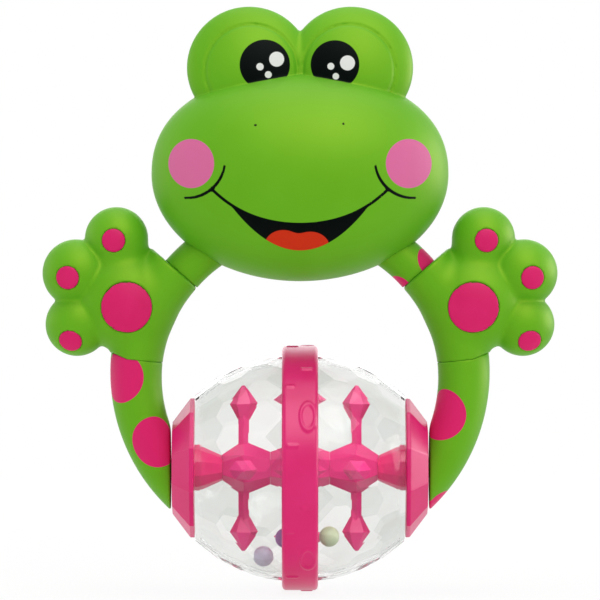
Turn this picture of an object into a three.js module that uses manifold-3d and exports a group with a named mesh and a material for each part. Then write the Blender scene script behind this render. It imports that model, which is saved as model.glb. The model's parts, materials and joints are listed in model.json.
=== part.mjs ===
// Teething rattle: an animal's head on a ring of two arms, whose ends carry a clear ball that spins.
// Millimetres, +Z up. The face looks along -Y, and the ball's axis lies along X.
// The origin is under the ball, at the lowest point of its band.
import * as THREE from 'three';
import { ConvexGeometry } from 'three/addons/geometries/ConvexGeometry.js';
import { ConvexHull } from 'three/addons/math/ConvexHull.js';
import { mergeVertices } from 'three/addons/utils/BufferGeometryUtils.js';
import Module from 'manifold-3d';

// Fits
const SEAT_GAP = 0.3; // between pieces that are seated on each other
const RUNNING_GAP = 0.4; // between pieces that turn past each other

// Ring and arms
const RING_RADIUS = 39.4; // centreline of the hands and lower arms
const RING_RISE = 21.8; // ring's centre above the ball's axis
const ARM_RADIUS = 6.6;
const ARM_TIP_RADIUS = 5.7;
const UPPER_ARM_RADIUS = 5.2;
const CORE_INSET = 1.9; // centreline of the core and upper arms, inside the ring's
const ARM_END_INSET = 1.84; // end face inside the ring's centreline, at the ball's axis
const ARM_END_WALL = 1.2;
const SLEEVE_TOP_ANGLE = 58; // degrees above the horizontal, inside the head
const CORE_RADIUS = 3.6;
const AXLE_RADIUS = 2.4;
const AXLE_REACH = 4.2; // of a stub axle into its cap
const AXLE_ROOT = 2; // of a stub axle past the arm's end wall, in the core

// Hands, in steps outward from the ring's centreline and upward along it
const HAND_ANGLE = 23.4;
const HAND_TOP_ANGLE = 40;
const HAND_BOTTOM_ANGLE = 6;
const PALM = { out: 6.4, up: 0, radius: 12, depth: 8.8 };
const FINGERS = {
  upper: { out: 14.2, up: 13, radius: 7.6, depth: 6.8 },
  middle: { out: 19.8, up: 1.6, radius: 8.1, depth: 7.2 },
  lower: { out: 14.7, up: -9.6, radius: 7.6, depth: 6.8 },
};

// Pads, by their offset from the middle of the lobe that holds them
const PAD_DEPTH = 1.6; // pocket below the skin
const PAD_PROUD = 0.2; // crown above the skin
const PALM_PAD = { out: -1.25, up: -1.15, radius: 6.1 };
const FINGER_PADS = {
  upper: { out: 0.3, up: -0.7, radius: 2.8 },
  middle: { out: 1.3, up: -1.9, radius: 2.8 },
  lower: { out: -0.3, up: -4.5, radius: 2.8 },
};

// Head
const HEAD_RISE = 48.6; // muzzle's middle above the ring's centre
const HEAD_WALL = 2.4;
const MUZZLE_HALF_WIDTH = 36.1;
const MUZZLE_HALF_DEPTH = 20;
const MUZZLE_HALF_HEIGHT = 25.7;
const MUZZLE_FORWARD = 1.5;
const EYE_MOUND = { overlap: 1.6, y: 1, radius: 14.6, depth: 9.5 }; // overlap past the head's middle
const EYEBALL = { inset: 1.4, drop: 0.5, y: -5.1, radius: 11, depth: 4.5 }; // from the mound's middle
const REST_FLAT_DEPTH = 1.2; // how deep the flat at the back of the head cuts the round form
const SADDLE_X = 9; // ribs that clamp the ring's core
const SADDLE_THICKNESS = 2;
const SADDLE_DROP = 7; // below the core's centreline
const PIN_X = 23; // locating pins of the two halves
const PIN_Z = 6;
const PIN_RADIUS = 1.6;
const PIN_REACH = 3;
const POST_RADIUS = 3.2;

// Ball
const SHELL_RADIUS = 27;
const SHELL_END_RADIUS = 17;
const SHELL_WALL = 1.4;
const FACETS_AROUND = 20;
const FACET_ROWS = 4; // on each half
const BAND_WALL = 1.9;
const BAND_HALF_WIDTH = 4.3;
const BAND_ROUND = 1;
const CAP_SIDES = 10;
const CAP_RADIUS = 16.7;
const CAP_END_RADIUS = 11;
const CAP_RIM = 1;
const CAP_TAPER = 4.3;
const BOSS_RADIUS = 5.3;
const BOSS_TIP_RADIUS = 3.1;

// Spindle and peg wheels
const SPINDLE_RADIUS = 1.9;
const SPINDLE_SEAT = 3.5; // depth in each cap's boss
const BOSS_WEB = 3.48; // in a cap, between the axle's bore and the spindle's socket
const HUB_OUTER_LENGTH = 5; // from a side wheel's crest to its outer end
const HUB_SPLIT = 0.515; // where the middle hub meets a side hub, on the way to its crest
const HUB_CREST_RADIUS = 6.6;
const HUB_END_RADIUS = 3.1;
const HUB_WAIST_RADIUS = 3.9;
const MIDDLE_HUB_RADIUS = 6.2;
const PEGS = 4;
const STEM_RADIUS = 1.35;
const SIDE_PEG = { length: 8.2, taper: 4.4, halfWidth: 3.3, halfThickness: 2.6, tip: 0.12 };
const SIDE_PEG_CLEARANCE = 3.34; // to the clear shell
const PADDLE = { length: 5.6, taper: 2.6, halfThickness: 2.6, tip: 0.5 };
const PADDLE_FILL = 0.63; // of the space between the side pegs

// Beads, each in a lane of its own
const BEAD_RADIUS = 2.4;
const LANE_SHIFT = -0.9; // of the four lanes along the ball's axis
const BEADS = {
  lilac_bead: { lane: -1.5, angle: -108 },
  purple_bead: { lane: -0.5, angle: -135 },
  pink_bead: { lane: 0.5, angle: -90 },
  green_bead: { lane: 1.5, angle: -135 },
};

// Roundness of the faceted solids; an ellipsoid's is its counts around and from pole to pole
const ARM_SIDES = 14;
const CORE_SIDES = 10;
const AXLE_SIDES = 12;
const ARC_STEP = 10; // degrees of the ring to one step
const BAND_SEGMENTS = 40;
const BAND_ROUND_STEPS = 2;
const PAD_SEGMENTS = 12;
const HEX = 6;
const MUZZLE_ROUNDNESS = [28, 14];
const EYE_ROUNDNESS = [16, 8];
const CAVITY_ROUNDNESS = [12, 6];
const PALM_ROUNDNESS = [16, 8];
const FINGER_ROUNDNESS = [12, 8];
const BEAD_ROUNDNESS = [10, 6];

// Values that follow from the sizes above
const BAND_BORE = SHELL_RADIUS / Math.cos(Math.PI / FACETS_AROUND) + SEAT_GAP;
const BAND_RADIUS = BAND_BORE + BAND_WALL;
const RING_Z = BAND_RADIUS + RING_RISE;
const HEAD_Z = RING_Z + HEAD_RISE;
const CORE_LINE = RING_RADIUS - CORE_INSET;
const ARM_END_X = Math.sqrt(RING_RADIUS ** 2 - RING_RISE ** 2) - ARM_END_INSET;
const AXLE_ROOT_X = ARM_END_X + ARM_END_WALL + AXLE_ROOT;
const CAP_END_X = ARM_END_X - RUNNING_GAP;
const CAP_SEAT_X = CAP_END_X - CAP_TAPER - CAP_RIM;
const SHELL_END_X = CAP_SEAT_X - SEAT_GAP;
const SHELL_HALF_LENGTH = SHELL_END_X / Math.sqrt(1 - (SHELL_END_RADIUS / SHELL_RADIUS) ** 2);
const AXLE_TIP_X = CAP_END_X - AXLE_REACH;
const SOCKET_END_X = AXLE_TIP_X - RUNNING_GAP - BOSS_WEB;
const SPINDLE_END_X = SOCKET_END_X - SEAT_GAP;
const BOSS_TIP_X = SPINDLE_END_X - SPINDLE_SEAT;
const WHEEL_OUTER_X = BOSS_TIP_X - SEAT_GAP;
const WHEEL_X = WHEEL_OUTER_X - HUB_OUTER_LENGTH;
const WAIST_X = HUB_SPLIT * WHEEL_X;
const SIDE_PEG_END = shellRadiusAt(WHEEL_X) - SHELL_WALL - SIDE_PEG_CLEARANCE;
const PADDLE_HALF_WIDTH = PADDLE_FILL * (WHEEL_X - SIDE_PEG.halfWidth);
const ARM_EDGE_TURN = Math.acos(ARM_END_X / (RING_RADIUS + ARM_RADIUS));
const ARM_TIP_ANGLE = -THREE.MathUtils.radToDeg(ARM_EDGE_TURN) - ARC_STEP / 2;
const CUFF_GAP_ANGLE = THREE.MathUtils.radToDeg(SEAT_GAP / RING_RADIUS);
const LANE_PITCH = 2 * BEAD_RADIUS + RUNNING_GAP;
const OUTER_LANE_X = 1.5 * LANE_PITCH + Math.abs(LANE_SHIFT);
const PADDLE_END = beadOrbit(OUTER_LANE_X) - BEAD_RADIUS - RUNNING_GAP;
const MOUND_X = EYE_MOUND.radius - EYE_MOUND.overlap;
const MOUND_PLACE = [MOUND_X, EYE_MOUND.y, MUZZLE_HALF_HEIGHT];
const EYEBALL_PLACE = [MOUND_X - EYEBALL.inset, EYEBALL.y, MUZZLE_HALF_HEIGHT - EYEBALL.drop];
const FAR = 4 * RING_RADIUS; // longer than the whole object

// Materials
const greenRubber = new THREE.MeshStandardMaterial({ color: 0x69b22d, roughness: 0.45, metalness: 0 });
const greenShell = new THREE.MeshStandardMaterial({ color: 0x6fb52f, roughness: 0.4, metalness: 0 });
const greenCore = new THREE.MeshStandardMaterial({ color: 0x5e9f27, roughness: 0.5, metalness: 0 });
const pinkPad = new THREE.MeshStandardMaterial({ color: 0xe0307a, roughness: 0.45, metalness: 0 });
const pinkPlastic = new THREE.MeshStandardMaterial({ color: 0xdb2f78, roughness: 0.3, metalness: 0 });
const clearPlastic = new THREE.MeshStandardMaterial({
  color: 0xe8eae8,
  roughness: 0.08,
  metalness: 0,
  transparent: true,
  opacity: 0.3,
});
const beadPlastic = {
  purple_bead: new THREE.MeshStandardMaterial({ color: 0x8e4f8c, roughness: 0.3, metalness: 0 }),
  lilac_bead: new THREE.MeshStandardMaterial({ color: 0xb7a2c8, roughness: 0.3, metalness: 0 }),
  pink_bead: new THREE.MeshStandardMaterial({ color: 0xe86a9c, roughness: 0.3, metalness: 0 }),
  green_bead: new THREE.MeshStandardMaterial({ color: 0x8fb06a, roughness: 0.3, metalness: 0 }),
};

// Solids
const wasm = await Module();
wasm.setup();

function signedVolume(positions, triangles) {
  const [a, b, c] = [new THREE.Vector3(), new THREE.Vector3(), new THREE.Vector3()];
  let volume = 0;
  for (let i = 0; i < triangles.length; i += 3) {
    a.fromArray(positions, 3 * triangles[i]);
    b.fromArray(positions, 3 * triangles[i + 1]);
    c.fromArray(positions, 3 * triangles[i + 2]);
    volume += a.dot(b.cross(c)) / 6;
  }
  return volume;
}

// A closed solid with its faces pointing out, from any closed geometry.
function solid(geometry) {
  const bare = new THREE.BufferGeometry();
  bare.setAttribute('position', geometry.getAttribute('position'));
  bare.setIndex(geometry.getIndex());
  const merged = mergeVertices(bare);
  const positions = merged.getAttribute('position').array;
  const corners = merged.getIndex().array;
  const triangles = [];
  for (let i = 0; i < corners.length; i += 3) {
    const [a, b, c] = [corners[i], corners[i + 1], corners[i + 2]];
    if (a !== b && b !== c && c !== a) triangles.push(a, b, c);
  }
  if (signedVolume(positions, triangles) < 0) triangles.reverse();
  const triVerts = Uint32Array.from(triangles);
  return new wasm.Manifold(new wasm.Mesh({ numProp: 3, vertProperties: positions, triVerts }));
}

function join(first, ...others) {
  return others.reduce((whole, other) => whole.add(other), first);
}

function cut(first, ...others) {
  return others.reduce((whole, other) => whole.subtract(other), first);
}

function piece(name, body, material) {
  const { vertProperties, triVerts } = body.getMesh();
  const geometry = new THREE.BufferGeometry();
  geometry.setAttribute('position', new THREE.BufferAttribute(vertProperties, 3));
  geometry.setIndex(new THREE.BufferAttribute(triVerts, 1));
  geometry.computeVertexNormals();
  const mesh = new THREE.Mesh(geometry, material);
  mesh.name = name;
  return mesh;
}

function box(from, to) {
  const size = to.map((value, axis) => value - from[axis]);
  const middle = to.map((value, axis) => (value + from[axis]) / 2);
  return solid(new THREE.BoxGeometry(...size).translate(...middle));
}

function ellipsoid(halfSizes, middle, roundness) {
  const geometry = new THREE.SphereGeometry(1, ...roundness).rotateX(Math.PI / 2);
  return solid(geometry.scale(...halfSizes).translate(...middle));
}

// A turned form about the X axis; its outline is a list of [radius, x], and side mirrors it to -X.
function turned(outline, segments, side = 1) {
  const points = outline.map(([radius, x]) => new THREE.Vector2(radius, x));
  return solid(new THREE.LatheGeometry(points, segments).rotateZ((-side * Math.PI) / 2));
}

function rod(radius, fromX, toX, sides, side = 1) {
  const outline = [[0, fromX], [radius, fromX], [radius, toX], [0, toX]];
  return turned(outline, sides, side);
}

function polygon(radius, sides) {
  const points = [];
  for (let i = 0; i < sides; i += 1) {
    const angle = (2 * Math.PI * i) / sides;
    points.push(new THREE.Vector2(radius * Math.cos(angle), radius * Math.sin(angle)));
  }
  return new THREE.Shape(points);
}

// An arc about the ring's middle in the plane of X and Z, between two angles in degrees.
class RingArc extends THREE.Curve {
  constructor(line, from, to) {
    super();
    this.line = line;
    this.from = THREE.MathUtils.degToRad(from);
    this.to = THREE.MathUtils.degToRad(to);
  }

  getPoint(t, target = new THREE.Vector3()) {
    const angle = this.from + (this.to - this.from) * t;
    return target.set(this.line * Math.cos(angle), 0, this.line * Math.sin(angle));
  }
}

function ringTube(radius, from, to, sides, line = RING_RADIUS) {
  const steps = Math.max(2, Math.ceil(Math.abs(to - from) / ARC_STEP));
  const extrudePath = new RingArc(line, from, to);
  return new THREE.ExtrudeGeometry(polygon(radius, sides), { steps, extrudePath });
}

function mirrored(geometry, side) {
  return geometry.scale(side, 1, 1);
}

// The clear ball's outline before it is faceted
function shellRadiusAt(x) {
  return SHELL_RADIUS * Math.sqrt(1 - (x / SHELL_HALF_LENGTH) ** 2);
}

// How far from the ball's axis a bead runs along the clear shell's inside, in the lane at x.
function beadOrbit(x) {
  return shellRadiusAt(x) - SHELL_WALL - RUNNING_GAP - BEAD_RADIUS;
}

// Ring: core, sleeves and hands
const ringGroup = new THREE.Group();
ringGroup.position.z = RING_Z;

function armTube(radius, from, to, side, line = RING_RADIUS) {
  return solid(mirrored(ringTube(radius, from, to, ARM_SIDES, line), side));
}

// Arms narrow from the hand to the tip, on the outside of the ring only.
function lowerArmForm(side) {
  const top = HAND_BOTTOM_ANGLE - CUFF_GAP_ANGLE;
  const geometry = ringTube(ARM_RADIUS, ARM_TIP_ANGLE, top, ARM_SIDES);
  const position = geometry.getAttribute('position');
  const inner = RING_RADIUS - ARM_RADIUS;
  for (let i = 0; i < position.count; i += 1) {
    const [x, y, z] = [position.getX(i), position.getY(i), position.getZ(i)];
    const angle = THREE.MathUtils.radToDeg(Math.atan2(z, x));
    const share = (top - angle) / (top - ARM_TIP_ANGLE);
    const slim = 1 - share * (1 - ARM_TIP_RADIUS / ARM_RADIUS);
    const out = Math.hypot(x, z);
    const grow = (inner + (out - inner) * slim) / out;
    position.setXYZ(i, x * grow, y * slim, z * grow);
  }
  return solid(mirrored(geometry, side));
}

function coreForm(radius) {
  return solid(ringTube(radius, ARM_TIP_ANGLE, 180 - ARM_TIP_ANGLE, CORE_SIDES, CORE_LINE));
}

// The space between the two arm ends, up to the given distance from the middle
function betweenArms(halfWidth) {
  return box([-halfWidth, -FAR, -FAR], [halfWidth, FAR, 0]);
}

function stubAxle(radius, fromX, toX, side) {
  return rod(radius, fromX, toX, AXLE_SIDES, side).translate(0, 0, -RING_RISE);
}

function ringCore() {
  const clipped = cut(coreForm(CORE_RADIUS), betweenArms(ARM_END_X + ARM_END_WALL + SEAT_GAP));
  const axles = [1, -1].map((side) => stubAxle(AXLE_RADIUS, AXLE_TIP_X, AXLE_ROOT_X, side));
  return join(clipped, ...axles);
}

const coreBore = cut(coreForm(CORE_RADIUS + SEAT_GAP), betweenArms(ARM_END_X + ARM_END_WALL));

function upperSleeve(side) {
  const from = HAND_TOP_ANGLE + CUFF_GAP_ANGLE;
  return cut(armTube(UPPER_ARM_RADIUS, from, SLEEVE_TOP_ANGLE, side, CORE_LINE), coreBore);
}

function lowerSleeve(side) {
  const axleHole = stubAxle(AXLE_RADIUS + SEAT_GAP, 0, AXLE_ROOT_X + SEAT_GAP, side);
  return cut(lowerArmForm(side), betweenArms(ARM_END_X), coreBore, axleHole);
}

// A point of the hand: out from the ring's centreline, and up along it
function handPoint(side, out, up, y = 0) {
  const angle = THREE.MathUtils.degToRad(HAND_ANGLE);
  const x = (RING_RADIUS + out) * Math.cos(angle) - up * Math.sin(angle);
  const z = (RING_RADIUS + out) * Math.sin(angle) + up * Math.cos(angle);
  return new THREE.Vector3(side * x, y, z);
}

function lobe({ out, up, radius, depth }, side, roundness) {
  return ellipsoid([radius, depth, radius], handPoint(side, out, up).toArray(), roundness);
}

// Where a pad sits on the front of its lobe, with +Y of its own frame along the skin's normal
function padFrame(host, pad, side) {
  const middle = handPoint(side, host.out, host.up);
  const place = handPoint(side, host.out + pad.out, host.up + pad.up);
  const [dx, dz] = [place.x - middle.x, place.z - middle.z];
  place.y = -host.depth * Math.sqrt(1 - (dx ** 2 + dz ** 2) / host.radius ** 2);
  const normal = new THREE.Vector3(dx / host.radius ** 2, place.y / host.depth ** 2, dz / host.radius ** 2);
  const turn = new THREE.Quaternion().setFromUnitVectors(new THREE.Vector3(0, 1, 0), normal.normalize());
  return { place, turn };
}

function padPocket(host, pad, side) {
  const { place, turn } = padFrame(host, pad, side);
  const height = PAD_DEPTH + host.depth;
  const geometry = new THREE.CylinderGeometry(pad.radius, pad.radius, height, PAD_SEGMENTS);
  geometry.translate(0, height / 2 - PAD_DEPTH, 0).applyQuaternion(turn).translate(...place.toArray());
  return solid(geometry);
}

function padMesh(name, host, pad, side) {
  const { place, turn } = padFrame(host, pad, side);
  const radius = pad.radius - SEAT_GAP;
  const rim = -(radius ** 2) / (2 * host.radius);
  const floor = SEAT_GAP - PAD_DEPTH;
  const shoulder = (rim + 3 * PAD_PROUD) / 4;
  const outline = [[0, floor], [radius, floor], [radius, rim], [radius / 2, shoulder], [0, PAD_PROUD]];
  const points = outline.map(([x, y]) => new THREE.Vector2(x, y));
  const mesh = piece(name, solid(new THREE.LatheGeometry(points, PAD_SEGMENTS)), pinkPad);
  mesh.position.copy(place);
  mesh.quaternion.copy(turn);
  return mesh;
}

function hand(side) {
  const cuff = armTube(ARM_RADIUS, HAND_BOTTOM_ANGLE, HAND_TOP_ANGLE, side);
  const palm = lobe(PALM, side, PALM_ROUNDNESS);
  const fingers = Object.values(FINGERS).map((size) => lobe(size, side, FINGER_ROUNDNESS));
  const upperRoom = UPPER_ARM_RADIUS + SEAT_GAP;
  const roomAbove = armTube(upperRoom, HAND_TOP_ANGLE, SLEEVE_TOP_ANGLE, side, CORE_LINE);
  const roomBelow = armTube(ARM_RADIUS + SEAT_GAP, ARM_TIP_ANGLE, HAND_BOTTOM_ANGLE, side);
  const pockets = Object.keys(FINGERS).map((name) => padPocket(FINGERS[name], FINGER_PADS[name], side));
  pockets.push(padPocket(PALM, PALM_PAD, side));
  return cut(join(cuff, palm, ...fingers), roomAbove, roomBelow, coreBore, ...pockets);
}

ringGroup.add(piece('ring_core', ringCore(), greenCore));
for (const [word, side] of [['left', -1], ['right', 1]]) {
  ringGroup.add(piece(`${word}_upper_arm_sleeve`, upperSleeve(side), greenRubber));
  ringGroup.add(piece(`${word}_hand`, hand(side), greenRubber));
  ringGroup.add(piece(`${word}_lower_arm_sleeve`, lowerSleeve(side), greenRubber));
  ringGroup.add(padMesh(`${word}_palm_pad`, PALM, PALM_PAD, side));
  for (const name of Object.keys(FINGERS)) {
    ringGroup.add(padMesh(`${word}_${name}_finger_pad`, FINGERS[name], FINGER_PADS[name], side));
  }
}

// Head: two hollow halves that close around the ring
const headGroup = new THREE.Group();
headGroup.position.z = HEAD_Z;

// How far the back of the muzzle stands past a plane that leans on the band at this tilt
function overhang(tilt) {
  const lean = Math.hypot(MUZZLE_HALF_DEPTH * Math.cos(tilt), MUZZLE_HALF_HEIGHT * Math.sin(tilt));
  const middle = (RING_RISE + HEAD_RISE) * Math.sin(tilt) - MUZZLE_FORWARD * Math.cos(tilt);
  return middle + lean - REST_FLAT_DEPTH - BAND_RADIUS;
}

// The tilt of the rest flat, so that the rattle lies on its back on the flat and the band
function restTilt() {
  let [low, high] = [0, Math.PI / 3];
  while (high - low > 1e-9) {
    const middle = (low + high) / 2;
    if (overhang(middle) < 0) low = middle;
    else high = middle;
  }
  return low;
}

// Everything behind the rest flat, or behind a plane that lies deeper in the head
function behindRestFlat(deeper) {
  const tilt = restTilt();
  const reach = BAND_RADIUS - deeper;
  const geometry = new THREE.BoxGeometry(FAR, FAR, FAR).translate(0, FAR / 2 + reach, 0);
  geometry.rotateX(tilt).translate(0, 0, -RING_RISE - HEAD_RISE);
  return solid(geometry);
}

function muzzleForm(inset, roundness) {
  const halfSizes = [MUZZLE_HALF_WIDTH, MUZZLE_HALF_DEPTH, MUZZLE_HALF_HEIGHT].map((half) => half - inset);
  return ellipsoid(halfSizes, [0, -MUZZLE_FORWARD, 0], roundness);
}

function eyeForms({ radius, depth }, [x, y, z], inset, roundness) {
  const halfSizes = [radius, depth, radius].map((half) => half - inset);
  return [-1, 1].map((side) => ellipsoid(halfSizes, [side * x, y, z], roundness));
}

const headOuter = cut(
  join(
    muzzleForm(0, MUZZLE_ROUNDNESS),
    ...eyeForms(EYE_MOUND, MOUND_PLACE, 0, EYE_ROUNDNESS),
    ...eyeForms(EYEBALL, EYEBALL_PLACE, 0, EYE_ROUNDNESS),
  ),
  behindRestFlat(0),
);
const headInner = cut(
  join(
    muzzleForm(HEAD_WALL, CAVITY_ROUNDNESS),
    ...eyeForms(EYE_MOUND, MOUND_PLACE, HEAD_WALL, CAVITY_ROUNDNESS),
  ),
  behindRestFlat(HEAD_WALL),
);

// The ring's parts in the head's own frame
const coreRoom = coreForm(CORE_RADIUS + SEAT_GAP).translate(0, 0, -HEAD_RISE);
const armHoles = [-1, 1].map((side) => {
  const [radius, top] = [UPPER_ARM_RADIUS + SEAT_GAP, SLEEVE_TOP_ANGLE + CUFF_GAP_ANGLE];
  return armTube(radius, HAND_TOP_ANGLE, top, side, CORE_LINE).translate(0, 0, -HEAD_RISE);
});

// Ribs at both sides of the middle that reach from the wall to the core
function saddles(front) {
  const coreZ = CORE_LINE - HEAD_RISE;
  const [near, far] = front ? [-FAR, -SEAT_GAP / 2] : [SEAT_GAP / 2, FAR];
  return [-1, 1].map((side) => {
    const x = side * SADDLE_X;
    const from = [x - SADDLE_THICKNESS / 2, near, coreZ - SADDLE_DROP];
    const to = [x + SADDLE_THICKNESS / 2, far, coreZ + CORE_RADIUS + SADDLE_THICKNESS];
    return box(from, to).intersect(headOuter);
  });
}

function rodAlongY(radius, x, fromY, toY, z) {
  const geometry = new THREE.CylinderGeometry(radius, radius, toY - fromY, AXLE_SIDES);
  return solid(geometry.translate(x, (fromY + toY) / 2, z));
}

function frontShell() {
  const half = box([-FAR, -FAR, -FAR], [FAR, -SEAT_GAP / 2, FAR]);
  const posts = [-1, 1].map((side) => rodAlongY(POST_RADIUS, side * PIN_X, -FAR, -SEAT_GAP / 2, PIN_Z));
  const pins = [-1, 1].map((side) => rodAlongY(PIN_RADIUS, side * PIN_X, -PIN_REACH, PIN_REACH, PIN_Z));
  const walls = cut(headOuter, headInner).intersect(half);
  const heldPosts = posts.map((post) => post.intersect(headOuter));
  return cut(join(walls, ...saddles(true), ...heldPosts, ...pins), coreRoom, ...armHoles);
}

function rearShell() {
  const half = box([-FAR, SEAT_GAP / 2, -FAR], [FAR, FAR, FAR]);
  const posts = [-1, 1].map((side) => rodAlongY(POST_RADIUS, side * PIN_X, SEAT_GAP / 2, FAR, PIN_Z));
  const sockets = [-1, 1].map((side) => {
    return rodAlongY(PIN_RADIUS + SEAT_GAP, side * PIN_X, -PIN_REACH, PIN_REACH + SEAT_GAP, PIN_Z);
  });
  const walls = cut(headOuter, headInner).intersect(half);
  const heldPosts = posts.map((post) => post.intersect(headOuter));
  return cut(join(walls, ...saddles(false), ...heldPosts), coreRoom, ...armHoles, ...sockets);
}

headGroup.add(piece('head_front_shell', frontShell(), greenShell));
headGroup.add(piece('head_rear_shell', rearShell(), greenShell));

// Ball: clear faceted halves, band, caps, spindle, wheels and beads
const ballGroup = new THREE.Group();
ballGroup.position.z = BAND_RADIUS;

// The body inside a set of planes, whose corners are the dual points of the hull of normal / distance
function bodyInside(planes) {
  const duals = planes.map(({ normal, distance }) => normal.clone().divideScalar(distance));
  const corners = new THREE.BufferGeometry();
  corners.setFromPoints(new ConvexHull().setFromPoints(duals).faces.map((face) => {
    return face.normal.clone().divideScalar(face.normal.dot(face.edge.head().point));
  }));
  const position = mergeVertices(corners, 0.01).getAttribute('position');
  const points = [];
  for (let i = 0; i < position.count; i += 1) {
    points.push(new THREE.Vector3().fromBufferAttribute(position, i));
  }
  return solid(new ConvexGeometry(points));
}

// Flat facets in staggered rows, each one touching the ball's round outline
function facetedBall(inset) {
  const planes = [-1, 1].map((side) => {
    return { normal: new THREE.Vector3(side, 0, 0), distance: SHELL_END_X - inset };
  });
  for (let row = 0; row < FACET_ROWS; row += 1) {
    const x = ((row + 0.5) / FACET_ROWS) * SHELL_END_X;
    const radius = shellRadiusAt(x);
    for (let i = 0; i < FACETS_AROUND; i += 1) {
      const angle = (2 * Math.PI * (i + (row % 2) / 2)) / FACETS_AROUND;
      for (const side of [-1, 1]) {
        const point = new THREE.Vector3(side * x, radius * Math.cos(angle), radius * Math.sin(angle));
        const normal = point.clone();
        normal.x *= (SHELL_RADIUS / SHELL_HALF_LENGTH) ** 2;
        normal.normalize();
        planes.push({ normal, distance: normal.dot(point) - inset });
      }
    }
  }
  return bodyInside(planes);
}

const ballOuter = facetedBall(0);
const ballInner = facetedBall(SHELL_WALL);

function clearShell(side) {
  const [near, far] = side < 0 ? [-FAR, -SEAT_GAP / 2] : [SEAT_GAP / 2, FAR];
  const half = box([near, -FAR, -FAR], [far, FAR, FAR]);
  const bossHole = rod(BOSS_RADIUS + SEAT_GAP, 0, FAR, CAP_SIDES, side);
  return cut(ballOuter.intersect(half), ballInner, bossHole);
}

function centreBand() {
  const flat = BAND_HALF_WIDTH - BAND_ROUND;
  const outline = [[BAND_BORE, -BAND_HALF_WIDTH]];
  for (const [middle, start] of [[-flat, -90], [flat, 0]]) {
    for (let i = 0; i <= BAND_ROUND_STEPS; i += 1) {
      const angle = THREE.MathUtils.degToRad(start + (90 * i) / BAND_ROUND_STEPS);
      const radius = BAND_RADIUS - BAND_ROUND + BAND_ROUND * Math.cos(angle);
      outline.push([radius, middle + BAND_ROUND * Math.sin(angle)]);
    }
  }
  outline.push([BAND_BORE, BAND_HALF_WIDTH], [BAND_BORE, -BAND_HALF_WIDTH]);
  return turned(outline, BAND_SEGMENTS);
}

function cap(side) {
  const outline = [
    [0, BOSS_TIP_X],
    [BOSS_TIP_RADIUS, BOSS_TIP_X],
    [BOSS_RADIUS, SHELL_END_X - SHELL_WALL],
    [BOSS_RADIUS, CAP_SEAT_X],
    [CAP_RADIUS, CAP_SEAT_X],
    [CAP_RADIUS, CAP_SEAT_X + CAP_RIM],
    [CAP_END_RADIUS, CAP_END_X],
    [0, CAP_END_X],
  ];
  const axleBore = rod(AXLE_RADIUS + SEAT_GAP, AXLE_TIP_X - RUNNING_GAP, FAR, AXLE_SIDES, side);
  const socket = rod(SPINDLE_RADIUS + SEAT_GAP, 0, SOCKET_END_X, HEX, side);
  return cut(turned(outline, CAP_SIDES, side), axleBore, socket);
}

function peg({ length, taper, halfWidth, halfThickness, tip, end }) {
  const [start, widest] = [end - length, end - taper];
  const head = [[0, start], [STEM_RADIUS / halfWidth, start], [1, widest], [tip, end], [0, end]];
  const headPoints = head.map(([radius, out]) => new THREE.Vector2(radius, out));
  const headGeometry = new THREE.LatheGeometry(headPoints, HEX, Math.PI / 2);
  headGeometry.scale(halfWidth, 1, halfThickness);
  const stemTop = (start + widest) / 2;
  const stem = new THREE.CylinderGeometry(STEM_RADIUS, STEM_RADIUS, stemTop - SPINDLE_RADIUS, HEX);
  stem.translate(0, (stemTop + SPINDLE_RADIUS) / 2, 0);
  return join(solid(headGeometry), solid(stem));
}

function pegWheel(hubOutline, crestX, pegSize) {
  const pegs = [];
  for (let i = 0; i < PEGS; i += 1) {
    pegs.push(peg(pegSize).rotate(90 + (360 * i) / PEGS, 0, 0).translate(crestX, 0, 0));
  }
  const bore = rod(SPINDLE_RADIUS + SEAT_GAP, -FAR, FAR, HEX);
  return cut(join(turned(hubOutline, HEX), ...pegs), bore);
}

function sideWheel(side) {
  const outline = [
    [0, side * (WAIST_X + SEAT_GAP)],
    [HUB_WAIST_RADIUS, side * (WAIST_X + SEAT_GAP)],
    [HUB_CREST_RADIUS, side * WHEEL_X],
    [HUB_END_RADIUS, side * WHEEL_OUTER_X],
    [0, side * WHEEL_OUTER_X],
  ];
  return pegWheel(outline, side * WHEEL_X, { ...SIDE_PEG, end: SIDE_PEG_END });
}

function middleWheel() {
  const outline = [
    [0, -WAIST_X],
    [HUB_WAIST_RADIUS, -WAIST_X],
    [MIDDLE_HUB_RADIUS, 0],
    [HUB_WAIST_RADIUS, WAIST_X],
    [0, WAIST_X],
  ];
  return pegWheel(outline, 0, { ...PADDLE, halfWidth: PADDLE_HALF_WIDTH, end: PADDLE_END });
}

for (const [word, side] of [['left', -1], ['right', 1]]) {
  ballGroup.add(piece(`${word}_shell`, clearShell(side), clearPlastic));
  ballGroup.add(piece(`${word}_cap`, cap(side), pinkPlastic));
  ballGroup.add(piece(`${word}_peg_wheel`, sideWheel(side), pinkPlastic));
}
ballGroup.add(piece('centre_band', centreBand(), pinkPlastic));
ballGroup.add(piece('spindle', rod(SPINDLE_RADIUS, -SPINDLE_END_X, SPINDLE_END_X, HEX), pinkPlastic));
ballGroup.add(piece('middle_peg_wheel', middleWheel(), pinkPlastic));

// A bead's angle is about the ball's axis, with -90 at the bottom and -180 towards the front.
for (const [name, { lane, angle }] of Object.entries(BEADS)) {
  const turn = THREE.MathUtils.degToRad(angle);
  const halfSizes = [BEAD_RADIUS, BEAD_RADIUS, BEAD_RADIUS];
  const bead = piece(name, ellipsoid(halfSizes, [0, 0, 0], BEAD_ROUNDNESS), beadPlastic[name]);
  const x = lane * LANE_PITCH + LANE_SHIFT;
  bead.position.set(x, beadOrbit(x) * Math.cos(turn), beadOrbit(x) * Math.sin(turn));
  ballGroup.add(bead);
}

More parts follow.
